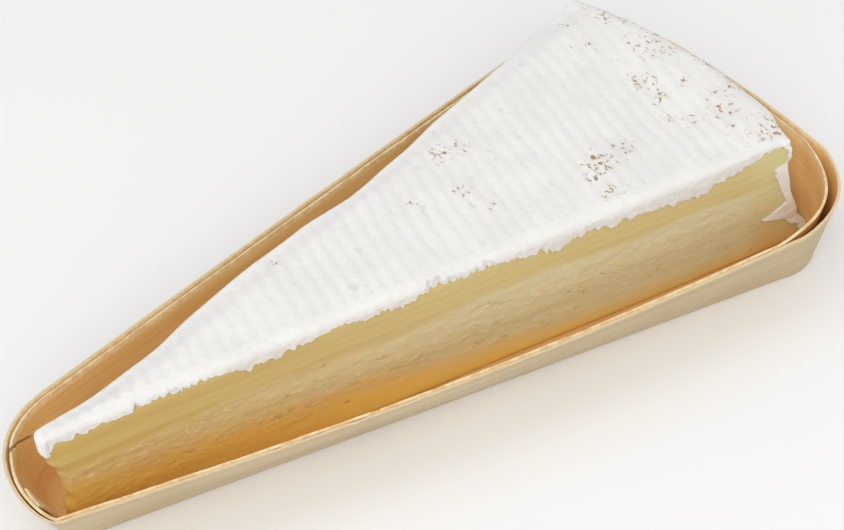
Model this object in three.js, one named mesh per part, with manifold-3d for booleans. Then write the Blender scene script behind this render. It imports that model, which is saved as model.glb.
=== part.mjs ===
// A wedge of soft-ripened cheese lying in its folded veneer tray.
//
// Millimetres, +Z up. The wedge's tip points along -X and its middle line is the X axis; "near" is
// the -Y side and "far" the +Y side. The finished group is moved so that it stands on z = 0 with
// the middle of its box over the origin.

import * as THREE from 'three';
import { mergeVertices } from 'three/addons/utils/BufferGeometryUtils.js';
import Module from 'manifold-3d';

// The cheese: a sector of a wheel
const wheelRadius = 175; // at the top edge
const wedgeAngle = 23.6; // degrees between the two cuts
const cheeseHeight = 30.5;
const sideSlump = 3.5; // how much further out the soft side stands near its foot
const topEdgeRadius = 3.5; // rounding of the wheel's rim
const bottomEdgeRadius = 6;
const tipBluntness = 1; // how far the point of the wedge is rubbed off
const tipRecess = 2; // how much further it is worn back at the bottom

// The veneer
const bandPly = 0.6;
const sheetPly = 0.6;
const plyClearance = 0.3; // between the outer band and the folded sheet
const restClearance = 0.3; // between the floor and the cheese
const bandLift = 0.2; // the band stops this far above the surface the tray stands on

// The tray's floor: where the outside of each fold would meet the next, from the cheese's cuts
const nearGapTip = 1.9; // out from the near cut
const nearGapBack = 10.8;
const farGapTip = 12.9; // out from the far cut
const farGapBack = 4.5;
const backGapNear = 5.8; // beyond the wheel's radius
const backGapFar = 7;
const nearTipStation = 3; // along each cut from the tip
const farTipStation = 6.8;
const tipHandlesFloor = { near: 6, far: 7 }; // how far each side runs on into the tip's curve

// The tray's walls, which splay out from the floor to the rim
const wallHeight = 20;
const rimStep = 0.3; // the sheet's edge is this much lower than the band's
const tipNearSplay = { along: -7.1, out: 11.4 }; // along and out from the nearest cut
const backNearSplay = { along: 8.5, out: 6.8 };
const tipFarSplay = { along: 7.3, out: 5.6 };
const backFarSplay = { along: 9, out: 1.2 };
const nearBow = 4.7; // how far each rim swells out at mid-length, beyond a straight one
const farBow = 0.6;
const backFlattening = 3.6; // how much less the back bulges at the rim than at the floor
const tipHandlesRim = { near: 3.5, far: 24 };
const nearCornerFloor = 9; // length taken off each side of a back corner by its rounding
const farCornerFloor = 5;
const cornerRim = 22;
const cornerFullness = 0.7; // 0 cuts a back corner straight across, 1 rounds it fully
const sheetCornerSpare = 6; // the sheet rounds the near back corner wider than the band

// The strip tucked inside the wall beside the tip
const tabFacets = 3; // length of the strip, in facets of the tip's curve
const tabHeight = 12;
const tabPly = 0.5;
const tabClearance = 0.3;
const tabStart = 0.58; // share of the tip's curve at which the strip begins

// Faceting
const wheelFacets = 360;
const edgeFacets = 6;
const sideFacets = 36;
const backFacets = 18;
const cornerFacets = 8;
const tipFacets = 24;

const { degToRad, lerp } = THREE.MathUtils;
const NEAR = -1;
const FAR = 1;

const wasm = await Module();
wasm.setup();

// ---------------------------------------------------------------- plan of the tray

/** The direction of a cut from the tip, and the direction straight out from its face. */
function cutDirections(side) {
  const half = side * degToRad(wedgeAngle / 2);
  const along = new THREE.Vector2(Math.cos(half), Math.sin(half));
  const out = new THREE.Vector2(-side * along.y, side * along.x);
  return { along, out };
}

/** A point beside one of the two cuts: so far from the tip along it, and so far out from it. */
function besideCut(side, station, gap) {
  const { along, out } = cutDirections(side);
  return along.multiplyScalar(station).addScaledVector(out, gap);
}

/** The corner beside a cut at a distance from the wheel's centre. */
function backCorner(side, gap, radius) {
  return besideCut(side, Math.sqrt(radius * radius - gap * gap), gap);
}

const floorCorners = {
  tipNear: besideCut(NEAR, nearTipStation, nearGapTip),
  backNear: backCorner(NEAR, nearGapBack, wheelRadius + backGapNear),
  backFar: backCorner(FAR, farGapBack, wheelRadius + backGapFar),
  tipFar: besideCut(FAR, farTipStation, farGapTip),
};

/** The rim's corner above one of the floor's. */
function splayed(side, corner, splay) {
  return corner.clone().add(besideCut(side, splay.along, splay.out));
}

const rimCorners = {
  tipNear: splayed(NEAR, floorCorners.tipNear, tipNearSplay),
  backNear: splayed(NEAR, floorCorners.backNear, backNearSplay),
  backFar: splayed(FAR, floorCorners.backFar, backFarSplay),
  tipFar: splayed(FAR, floorCorners.tipFar, tipFarSplay),
};

/** A unit vector to the right of the way from one point to another, which is outwards here. */
function rightOf(from, to) {
  const way = to.clone().sub(from).normalize();
  return new THREE.Vector2(way.y, -way.x);
}

/** How far an arc of the wheel's edge stands out from the middle of its chord. */
function wheelBulge(chord) {
  return wheelRadius - Math.sqrt(wheelRadius ** 2 - (chord / 2) ** 2);
}

/** Points from one corner to the next that swell outwards by bow at the middle, ends trimmed. */
function bowedSide(from, to, bow, trimStart, trimEnd, facets) {
  const length = from.distanceTo(to);
  const out = rightOf(from, to);
  const points = [];
  for (let i = 0; i <= facets; i += 1) {
    const share = lerp(trimStart / length, 1 - trimEnd / length, i / facets);
    const swell = bow * Math.sin(Math.PI * share);
    points.push(from.clone().lerp(to, share).addScaledVector(out, swell));
  }
  return points;
}

/** The inner points of a rounded corner between the last point of one side and the next side. */
function roundedCorner(from, corner, to) {
  const control = from.clone().lerp(to, 0.5).lerp(corner, cornerFullness);
  const curve = new THREE.QuadraticBezierCurve(from, control, to);
  return curve.getPoints(cornerFacets).slice(1, -1);
}

/** The inner points of the tip's curve, which carries both sides on and brings them together. */
function roundedTip(far, near, handles) {
  const runOn = ([before, end], length) => (
    end.clone().add(end.clone().sub(before).setLength(length)));
  const curve = new THREE.CubicBezierCurve(
    far[1], runOn(far, handles.far), runOn(near, handles.near), near[1]);
  return curve.getPoints(tipFacets).slice(1, -1);
}

/** The outside of the wall at the floor or the rim, counter-clockwise from the near tip corner. */
function wallEdge({ tipNear, backNear, backFar, tipFar }, bows, trims, tipHandles) {
  const bulge = wheelBulge(backNear.distanceTo(backFar)) + bows.back;
  const nearSide = bowedSide(tipNear, backNear, bows.near, 0, trims.near, sideFacets);
  const backSide = bowedSide(backNear, backFar, bulge, trims.near, trims.far, backFacets);
  const farSide = bowedSide(backFar, tipFar, bows.far, trims.far, 0, sideFacets);
  return [
    ...nearSide,
    ...roundedCorner(nearSide.at(-1), backNear, backSide[0]),
    ...backSide,
    ...roundedCorner(backSide.at(-1), backFar, farSide[0]),
    ...farSide,
    ...roundedTip(farSide.slice(-2), nearSide.slice(0, 2).reverse(), tipHandles),
  ];
}

/** The outside of the wall at a share of its height; every point climbs along a straight line. */
function wallPlan(share, nearCornerSpare = 0) {
  const floor = wallEdge(floorCorners, { near: 0, back: 0, far: 0 },
    { near: nearCornerFloor, far: farCornerFloor }, tipHandlesFloor);
  const rim = wallEdge(rimCorners, { near: nearBow, back: -backFlattening, far: farBow },
    { near: cornerRim + nearCornerSpare, far: cornerRim }, tipHandlesRim);
  return floor.map((point, i) => point.lerp(rim[i], share));
}

/** A closed plan moved inwards by a distance, each point along the mean of its two normals. */
function inset(plan, distance) {
  return plan.map((point, i) => {
    const before = plan.at(i - 1);
    const after = plan[(i + 1) % plan.length];
    const out = rightOf(before, point).add(rightOf(point, after)).normalize();
    return point.clone().addScaledVector(out, -distance);
  });
}

// ---------------------------------------------------------------- solids

const atHeight = (plan, z) => plan.map(({ x, y }) => new THREE.Vector3(x, y, z));

/** Triangles between two rings of equally many points, the first ring below for outward faces. */
function ringWall(lower, upper) {
  const triangles = [];
  lower.forEach((point, i) => {
    const next = (i + 1) % lower.length;
    triangles.push([point, lower[next], upper[next]], [point, upper[next], upper[i]]);
  });
  return triangles;
}

/** The same triangles facing the other way. */
const turned = (triangles) => triangles.map(([a, b, c]) => [a, c, b]);

/** A flat cap, as a fan, on a ring that runs counter-clockwise as seen from above. */
function cap(ring, facesUp) {
  const middle = ring.reduce((sum, point) => sum.add(point), new THREE.Vector3())
    .divideScalar(ring.length);
  const up = ring.map((point, i) => [middle, point, ring[(i + 1) % ring.length]]);
  return facesUp ? up : turned(up);
}

/** Triangles between two open rows of equally many points. */
function ribbon(row, other) {
  return row.slice(1).flatMap((next, i) => [
    [row[i], next, other[i + 1]],
    [row[i], other[i + 1], other[i]],
  ]);
}

/** A geometry from a list of triangles, each of three points. */
function fromTriangles(triangles) {
  const geometry = new THREE.BufferGeometry().setFromPoints(triangles.flat());
  return mergeVertices(geometry, 1e-4);
}

/** The same closed geometry as a solid that can be joined and cut. */
function toSolid(geometry) {
  const bare = geometry.clone();
  bare.deleteAttribute('normal');
  bare.deleteAttribute('uv');
  const merged = mergeVertices(bare, 1e-4);
  return new wasm.Manifold(new wasm.Mesh({
    numProp: 3,
    vertProperties: merged.attributes.position.array,
    triVerts: new Uint32Array(merged.index.array),
  }));
}

/** A solid back as a geometry. */
function toGeometry(solid) {
  const mesh = solid.getMesh();
  const geometry = new THREE.BufferGeometry();
  geometry.setAttribute('position', new THREE.BufferAttribute(mesh.vertProperties, 3));
  geometry.setIndex(new THREE.BufferAttribute(mesh.triVerts, 1));
  return geometry;
}

/** The whole wheel, with its rim rounded at the top and the bottom. */
function wheel() {
  const footRadius = wheelRadius + sideSlump;
  const profile = new THREE.Path();
  profile.moveTo(0, 0);
  profile.lineTo(footRadius - bottomEdgeRadius, 0);
  profile.absarc(footRadius - bottomEdgeRadius, bottomEdgeRadius, bottomEdgeRadius,
    -Math.PI / 2, 0);
  profile.lineTo(wheelRadius, cheeseHeight - topEdgeRadius);
  profile.absarc(wheelRadius - topEdgeRadius, cheeseHeight - topEdgeRadius, topEdgeRadius,
    0, Math.PI / 2);
  profile.lineTo(0, cheeseHeight);
  return new THREE.LatheGeometry(profile.getPoints(edgeFacets), wheelFacets).rotateX(Math.PI / 2);
}

/** The part of the wheel between the two cuts. */
function cutSector() {
  const reach = wheelRadius * 1.2;
  const sector = new THREE.Shape();
  sector.moveTo(0, 0);
  for (const side of [NEAR, FAR]) {
    const corner = besideCut(side, reach, 0);
    sector.lineTo(corner.x, corner.y);
  }
  return new THREE.ExtrudeGeometry(sector, { depth: cheeseHeight * 2, bevelEnabled: false })
    .translate(0, 0, -cheeseHeight / 2);
}

/** Everything behind the worn face at the tip, which slopes back towards the bottom. */
function behindTip() {
  const slope = tipRecess / cheeseHeight;
  const faceAt = (z) => tipBluntness + slope * (cheeseHeight - z);
  const side = new THREE.Shape();
  side.moveTo(faceAt(-cheeseHeight), -cheeseHeight);
  side.lineTo(wheelRadius * 1.2, -cheeseHeight);
  side.lineTo(wheelRadius * 1.2, cheeseHeight * 2);
  side.lineTo(faceAt(cheeseHeight * 2), cheeseHeight * 2);
  return new THREE.ExtrudeGeometry(side, { depth: wheelRadius * 2, bevelEnabled: false })
    .rotateX(Math.PI / 2)
    .translate(0, wheelRadius, 0);
}

function cheese() {
  const wedge = toSolid(wheel()).intersect(toSolid(cutSector()));
  return toGeometry(wedge.intersect(toSolid(behindTip())));
}

/** The veneer band wrapped round the outside of the walls. */
function outerBand() {
  const low = wallPlan(bandLift / wallHeight);
  const high = wallPlan(1);
  const outerLow = atHeight(low, bandLift);
  const outerHigh = atHeight(high, wallHeight);
  const innerLow = atHeight(inset(low, bandPly), bandLift);
  const innerHigh = atHeight(inset(high, bandPly), wallHeight);
  return fromTriangles([
    ...ringWall(outerLow, outerHigh),
    ...ringWall(outerHigh, innerHigh),
    ...turned(ringWall(innerLow, innerHigh)),
    ...ringWall(innerLow, outerLow),
  ]);
}

const sheetInset = bandPly + plyClearance;
const sheetShare = (wallHeight - rimStep) / wallHeight;

/** The sheet of veneer folded up into the floor and the inner walls. */
function foldedSheet() {
  const low = wallPlan(0, sheetCornerSpare);
  const fold = wallPlan(sheetPly / wallHeight, sheetCornerSpare);
  const high = wallPlan(sheetShare, sheetCornerSpare);
  const outerLow = atHeight(inset(low, sheetInset), 0);
  const outerHigh = atHeight(inset(high, sheetInset), wallHeight - rimStep);
  const innerHigh = atHeight(inset(high, sheetInset + sheetPly), wallHeight - rimStep);
  const innerLow = atHeight(inset(fold, sheetInset + sheetPly), sheetPly);
  return fromTriangles([
    ...cap(outerLow, false),
    ...ringWall(outerLow, outerHigh),
    ...ringWall(outerHigh, innerHigh),
    ...turned(ringWall(innerLow, innerHigh)),
    ...cap(innerLow, true),
  ]);
}

/** The strip of veneer tucked upright inside the wall, between the tip and the near side. */
function tuckedStrip() {
  const top = { z: wallHeight * sheetShare, share: sheetShare };
  const foot = { z: top.z - tabHeight, share: sheetShare - tabHeight / wallHeight };
  const start = -Math.round((1 - tabStart) * tipFacets);
  const backFace = sheetInset + sheetPly + tabClearance;
  const row = ({ z, share }, distance) => {
    const plan = inset(wallPlan(share, sheetCornerSpare), distance);
    return atHeight(plan.slice(start, start + tabFacets + 1), z);
  };
  const backLow = row(foot, backFace);
  const backHigh = row(top, backFace);
  const frontLow = row(foot, backFace + tabPly);
  const frontHigh = row(top, backFace + tabPly);
  const ends = [0, tabFacets].map((i) => [
    [backLow[i], frontHigh[i], frontLow[i]],
    [backLow[i], backHigh[i], frontHigh[i]],
  ]);
  return fromTriangles([
    ...ribbon(backLow, backHigh),
    ...ribbon(backHigh, frontHigh),
    ...turned(ribbon(frontLow, frontHigh)),
    ...ribbon(frontLow, backLow),
    ...ends[0],
    ...turned(ends[1]),
  ]);
}

// ---------------------------------------------------------------- finishes and assembly

const finishes = {
  cheese: new THREE.MeshStandardMaterial({ color: 0xf0eee8, roughness: 0.85, metalness: 0 }),
  bandVeneer: new THREE.MeshStandardMaterial({ color: 0xd2c39f, roughness: 0.7, metalness: 0 }),
  sheetVeneer: new THREE.MeshStandardMaterial({ color: 0xc8965a, roughness: 0.7, metalness: 0 }),
  stripVeneer: new THREE.MeshStandardMaterial({ color: 0xdcb47c, roughness: 0.7, metalness: 0 }),
};

function piece(name, geometry, material) {
  const mesh = new THREE.Mesh(geometry, material);
  mesh.name = name;
  return mesh;
}

const wedge = piece('cheese_wedge', cheese(), finishes.cheese);
wedge.position.z = sheetPly + restClearance;

const model = new THREE.Group();
model.add(
  wedge,
  piece('outer_band', outerBand(), finishes.bandVeneer),
  piece('folded_sheet', foldedSheet(), finishes.sheetVeneer),
  piece('tucked_strip', tuckedStrip(), finishes.stripVeneer),
);

model.updateMatrixWorld(true);
const box = new THREE.Box3().setFromObject(model, true);
model.position.set(-(box.min.x + box.max.x) / 2, -(box.min.y + box.max.y) / 2, 0);

export default model;
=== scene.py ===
import math

import bmesh
import bpy
from mathutils import Matrix, Vector, noise


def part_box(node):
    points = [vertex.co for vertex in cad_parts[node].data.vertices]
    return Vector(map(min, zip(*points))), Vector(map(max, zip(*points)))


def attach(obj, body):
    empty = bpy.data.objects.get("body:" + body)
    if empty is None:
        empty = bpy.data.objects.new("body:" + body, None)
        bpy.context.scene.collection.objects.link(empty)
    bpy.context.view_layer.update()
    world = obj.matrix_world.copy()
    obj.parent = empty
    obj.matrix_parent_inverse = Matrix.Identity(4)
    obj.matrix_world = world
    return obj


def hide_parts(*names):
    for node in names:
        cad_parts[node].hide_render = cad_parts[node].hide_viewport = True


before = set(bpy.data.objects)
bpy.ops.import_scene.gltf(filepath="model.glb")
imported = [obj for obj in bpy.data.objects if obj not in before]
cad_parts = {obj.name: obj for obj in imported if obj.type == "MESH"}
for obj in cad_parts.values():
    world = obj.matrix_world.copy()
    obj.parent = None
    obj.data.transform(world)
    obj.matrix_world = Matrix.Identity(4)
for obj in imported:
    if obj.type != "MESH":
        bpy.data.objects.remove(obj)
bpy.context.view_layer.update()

bl_info = {
    "name": "Brie Wedge in a Veneer Tray",
    "version": (1, 0, 0),
    "blender": (4, 5, 0),
    "location": "3D View > Sidebar > Cheese",
    "description": "Cuts a wedge of soft cheese, lays it in its veneer tray and lights the two",
    "category": "Object",
}

CHEESE_LOW, CHEESE_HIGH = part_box("cheese_wedge")
MM = 0.001


# ---------------------------------------------------------------- sizes and colours


class CheeseSettings(bpy.types.PropertyGroup):
    """The sizes of the wedge, in metres, and its colours"""

    wheel_radius: bpy.props.FloatProperty(
        name="Wheel Radius", description="From the wheel's middle to its top edge",
        default=175 * MM, unit="LENGTH")
    wheel_slump: bpy.props.FloatProperty(
        name="Wheel Slump", description="How far the wheel's side swells past its top edge",
        default=3.5 * MM, unit="LENGTH")
    half_angle: bpy.props.FloatProperty(
        name="Half Angle", description="Half of the angle between the two cuts",
        default=math.radians(11.8), subtype="ANGLE")
    blunt_tip: bpy.props.FloatProperty(
        name="Blunt Tip", description="Half of the tip's own width",
        default=1.4 * MM, unit="LENGTH")
    rind_thickness: bpy.props.FloatProperty(
        name="Rind Thickness", description="Thickness of the white rind",
        default=0.7 * MM, unit="LENGTH")
    mat_spacing: bpy.props.FloatProperty(
        name="Mat Spacing", description="From one ridge of the draining mat's print to the next",
        default=3.3 * MM, unit="LENGTH")
    mat_relief: bpy.props.FloatProperty(
        name="Mat Relief", description="Height of the draining mat's print",
        default=0.14 * MM, unit="LENGTH")
    rind_white: bpy.props.FloatVectorProperty(
        name="Rind White", description="Colour of the clean bloom", subtype="COLOR",
        size=3, min=0, max=1, default=(0.90, 0.888, 0.86))
    paste_cream: bpy.props.FloatVectorProperty(
        name="Paste Cream", description="Colour of the pale paste towards the wheel's edge",
        subtype="COLOR", size=3, min=0, max=1, default=(0.68, 0.65, 0.43))
    paste_gold: bpy.props.FloatVectorProperty(
        name="Paste Gold", description="Colour of the ripe paste at the bottom",
        subtype="COLOR", size=3, min=0, max=1, default=(0.86, 0.59, 0.15))


class TraySettings(bpy.types.PropertyGroup):
    """The sizes of the tray's veneer, in metres, and its colours"""

    ply: bpy.props.FloatProperty(
        name="Ply", description="Thickness of one veneer", default=0.6 * MM, unit="LENGTH")
    chip_depth: bpy.props.FloatProperty(
        name="Chip Depth", description="Deepest splinter missing from the rim",
        default=0.9 * MM, unit="LENGTH")
    outside_wood: bpy.props.FloatVectorProperty(
        name="Outside Wood", description="Colour of the dry outer veneer", subtype="COLOR",
        size=3, min=0, max=1, default=(0.555, 0.44, 0.265))
    inside_wood: bpy.props.FloatVectorProperty(
        name="Inside Wood", description="Colour of the inner veneer", subtype="COLOR",
        size=3, min=0, max=1, default=(0.85, 0.51, 0.18))


class StageSettings(bpy.types.PropertyGroup):
    """The camera, the floor and the lights"""

    camera_azimuth: bpy.props.FloatProperty(
        name="Camera Azimuth", description="The camera's turn round the tray",
        default=math.radians(-35.297), subtype="ANGLE")
    camera_elevation: bpy.props.FloatProperty(
        name="Camera Elevation", description="The camera's height above the horizon",
        default=math.radians(42.899), subtype="ANGLE")
    camera_roll: bpy.props.FloatProperty(
        name="Camera Roll", description="The camera's tilt to one side",
        default=math.radians(-4.896), subtype="ANGLE")
    camera_distance: bpy.props.FloatProperty(
        name="Camera Distance", description="From the camera to what it looks at",
        default=443.996 * MM, unit="LENGTH")
    camera_lens: bpy.props.FloatProperty(
        name="Camera Lens", description="Focal length in millimetres on a 36 mm sensor",
        default=85.32)
    floor_grey: bpy.props.FloatProperty(
        name="Floor Grey", description="How pale the floor is", default=0.94, min=0, max=1)
    sky: bpy.props.FloatProperty(
        name="Sky", description="Strength of the even light from all round", default=0.63)


def cheese():
    return bpy.context.scene.cheese_settings


def tray():
    return bpy.context.scene.tray_settings


def stage():
    return bpy.context.scene.stage_settings


# ---------------------------------------------------------------- small tools


def smooth(low, high, value):
    """0 below low, 1 above high and an easy curve between."""
    share = min(1.0, max(0.0, (value - low) / (high - low)))
    return share * share * (3 - 2 * share)


def bump(centre, reach, value):
    """1 at the centre and 0 a reach away from it."""
    return 1 - smooth(0, reach, abs(value - centre))


def between(stops, value):
    """Follows a list of (place, amount) stops, with easy curves between them."""
    if value <= stops[0][0]:
        return stops[0][1]
    for (start, first), (end, last) in zip(stops, stops[1:]):
        if value <= end:
            return first + (last - first) * smooth(start, end, value)
    return stops[-1][1]


def ripple(x, y, size, seed):
    """Smooth noise between about -1 and 1, with features of about this size."""
    return noise.noise(Vector((x / size, y / size, seed * 7.31)))


def shares(count, start=0.0, end=1.0):
    """Count + 1 even stops from start to end."""
    return [start + (end - start) * k / count for k in range(count + 1)]


def grid_piece(name, columns, rows, place):
    """A grid primitive whose points are put in place by their column and row."""
    bpy.ops.object.select_all(action="DESELECT")
    bpy.ops.mesh.primitive_grid_add(x_subdivisions=columns, y_subdivisions=rows, size=1)
    piece = bpy.context.object
    piece.name = name
    piece.data.name = name
    for vertex in piece.data.vertices:
        column = round((vertex.co.x + 0.5) * columns)
        row = round((vertex.co.y + 0.5) * rows)
        vertex.co = place(column, row)
    return piece


def in_edit_mode(piece, *steps):
    """Runs edit mode steps on the whole of a piece."""
    bpy.ops.object.select_all(action="DESELECT")
    bpy.context.view_layer.objects.active = piece
    piece.select_set(True)
    bpy.ops.object.mode_set(mode="EDIT")
    bpy.ops.mesh.select_all(action="SELECT")
    for step in steps:
        step()
    bpy.ops.object.mode_set(mode="OBJECT")


def weld():
    bpy.ops.mesh.remove_doubles(threshold=0.01 * MM)


def face_outwards():
    bpy.ops.mesh.normals_make_consistent(inside=False)


def apply_modifier(piece, kind, **settings):
    """Adds one modifier, sets it and applies it."""
    bpy.ops.object.select_all(action="DESELECT")
    bpy.context.view_layer.objects.active = piece
    piece.select_set(True)
    bpy.ops.object.modifier_add(type=kind)
    modifier = piece.modifiers[-1]
    for name, value in settings.items():
        setattr(modifier, name, value)
    bpy.ops.object.modifier_apply(modifier=modifier.name)


def paint(piece, name, values):
    """Writes one number for each of a piece's points, for its material to read."""
    layer = piece.data.attributes.new(name, "FLOAT", "POINT")
    for index, value in enumerate(values):
        layer.data[index].value = value


def finish_piece(piece, node, material, smooth_angle):
    """Gives a piece its finish, and ties it to the frame in place of its CAD node."""
    piece.data.materials.clear()
    piece.data.materials.append(material)
    bpy.ops.object.select_all(action="DESELECT")
    bpy.context.view_layer.objects.active = piece
    piece.select_set(True)
    bpy.ops.object.shade_smooth_by_angle(angle=math.radians(smooth_angle))
    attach(piece, "root")
    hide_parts(node)


# ---------------------------------------------------------------- finishes


class Bench:
    """Lays out the nodes of one material."""

    def __init__(self, name):
        self.material = bpy.data.materials.new(name)
        self.material.use_nodes = True
        self.tree = self.material.node_tree
        self.tree.nodes.clear()
        self.output = self.tree.nodes.new("ShaderNodeOutputMaterial")
        self.shader = self.tree.nodes.new("ShaderNodeBsdfPrincipled")
        self.tree.links.new(self.shader.outputs[0], self.output.inputs["Surface"])

    def plug(self, socket, value):
        if isinstance(value, bpy.types.NodeSocket):
            self.tree.links.new(value, socket)
        elif value is not None:
            socket.default_value = value

    def add(self, kind, sockets=(), **settings):
        made = self.tree.nodes.new("ShaderNode" + kind)
        for name, value in settings.items():
            setattr(made, name, value)
        for name, value in dict(sockets).items():
            self.plug(made.inputs[name], value)
        return made

    def coordinates(self, turn=(0, 0, 0), scale=(1, 1, 1), source="Object"):
        where = self.add("TexCoord").outputs[source]
        return self.add("Mapping", {"Vector": where, "Rotation": turn, "Scale": scale}).outputs[0]

    def axis(self, where, index):
        return self.add("SeparateXYZ", {0: where}).outputs[index]

    def cloud(self, where, scale, detail=3.0, roughness=0.5, distortion=0.0):
        return self.add("TexNoise", {
            "Vector": where, "Scale": scale, "Detail": detail,
            "Roughness": roughness, "Distortion": distortion}).outputs[0]

    def math(self, operation, first, second=None, third=None):
        made = self.add("Math", operation=operation)
        for socket, value in zip(made.inputs, (first, second, third)):
            self.plug(socket, value)
        return made.outputs[0]

    def span(self, value, low, high, start=0.0, end=1.0):
        """Carries a value from low..high to start..end, and keeps it inside."""
        return self.add("MapRange", {
            "Value": value, "From Min": low, "From Max": high,
            "To Min": start, "To Max": end}, interpolation_type="SMOOTHSTEP").outputs[0]

    def mix(self, share, first, second, blend="MIX"):
        made = self.add("Mix", data_type="RGBA", blend_type=blend)
        self.plug(made.inputs["Factor"], share)
        self.plug(made.inputs[6], opaque(first))
        self.plug(made.inputs[7], opaque(second))
        return made.outputs[2]

    def relief(self, height, distance, strength=1.0, before=None):
        made = self.add("Bump", {"Height": height, "Distance": distance, "Strength": strength})
        self.plug(made.inputs["Normal"], before)
        return made.outputs[0]

    def attribute(self, name):
        return self.add("Attribute", attribute_name=name).outputs["Fac"]

    def shade(self, **sockets):
        for name, value in sockets.items():
            self.plug(self.shader.inputs[name.replace("_", " ")], value)
        return self.material


def opaque(colour):
    """A colour with its alpha, or a socket as it is."""
    if isinstance(colour, bpy.types.NodeSocket):
        return colour
    return (*tuple(colour)[:3], 1.0)


# How the specks on the bloom are turned, in radians.
DAB_TURN = (0, 0, 0.3)

# Where the bloom has worn through to brown: x, y and reach in millimetres, and how thick the spots are.
WORN_SPOTS = (
    (21, 18, 5, 0.52), (26, 17, 4, 0.42), (17, 6, 4, 0.4), (19, -4, 3, 0.45),
    (46, -8, 6, 0.6), (42, -10, 5, 0.6), (52, -8, 5, 0.5), (41, -18, 5, 0.5),
    (72, 7, 5, 0.6), (71, -1, 4, 0.5), (67, -7, 3, 0.4), (77, -14, 5, 0.5),
    (81, -22, 4, 0.34), (-27, 15, 2, 0.4), (6, 9, 2, 0.3))


def bloom_finish():
    """White felty bloom: mat print, painted grey shade in the hollows and on the rind rolled over the
    near cut, brown worn spots at the edge.
    """
    bench = Bench("white_bloom")
    place = bench.coordinates()
    wide = bench.cloud(place, 90, 2)
    fine = bench.cloud(place, 900, 4, 0.6)
    grain = bench.cloud(place, 2600, 3, 0.6)
    print_depth = bench.attribute("mat_print")
    edge = bench.attribute("torn_edge")
    wear = bench.attribute("wear")
    white = cheese().rind_white
    colour = bench.mix(bench.span(wide, 0.35, 0.65), [c * 0.95 for c in white], white)
    # Painted shade: the mat print's hollows are greyed.
    hollows = bench.span(print_depth, 0.15, 0.75, 0.28, 0.0)
    colour = bench.mix(hollows, colour, (0.76, 0.755, 0.735))
    colour = bench.mix(bench.span(fine, 0.52, 0.72, 0, 0.25), colour, (0.74, 0.73, 0.71))
    flaws = bench.cloud(bench.coordinates(turn=DAB_TURN, scale=(1, 0.5, 1)), 330, 4, 0.6)
    colour = bench.mix(bench.span(flaws, 0.64, 0.70, 0, 0.35), colour, (0.58, 0.57, 0.54))
    dabs = bench.cloud(bench.coordinates(turn=DAB_TURN, scale=(1, 0.6, 1)), 1050, 3, 0.6, 0.4)
    worn_level = bench.math("MULTIPLY_ADD", wear, 0.122, dabs)
    spots = bench.math("MULTIPLY", bench.span(worn_level, 0.63, 0.68), bench.span(wear, 0.03, 0.25))
    blush = bench.math("MULTIPLY", wear, bench.span(bench.cloud(place, 160, 2), 0.42, 0.62, 0, 0.26))
    colour = bench.mix(blush, colour, (0.70, 0.60, 0.54))
    tint = bench.mix(bench.span(worn_level, 0.65, 0.74), (0.66, 0.46, 0.22), (0.27, 0.145, 0.05))
    colour = bench.mix(bench.math("MULTIPLY", spots, 0.85), colour, tint)
    # Painted shade: the rind rolled over the near cut is greyed, mottled by the fine cloud.
    thin = bench.math("MULTIPLY", edge, bench.span(fine, 0.25, 0.6, 0.65, 1.0))
    colour = bench.mix(bench.math("MULTIPLY", thin, 0.9), colour, (0.68, 0.672, 0.645))
    normal = bench.relief(fine, 0.35 * MM, 0.5)
    normal = bench.relief(grain, 0.12 * MM, 0.6, normal)
    normal = bench.relief(bench.math("SUBTRACT", 1.0, spots), 0.2 * MM, 0.5, normal)
    return bench.shade(
        Base_Color=colour, Roughness=0.9, Normal=normal, Sheen_Weight=0.25,
        Sheen_Roughness=0.6, Specular_IOR_Level=0.2, Subsurface_Weight=0.12,
        Subsurface_Radius=(1.0, 0.95, 0.9), Subsurface_Scale=0.8 * MM)


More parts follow.
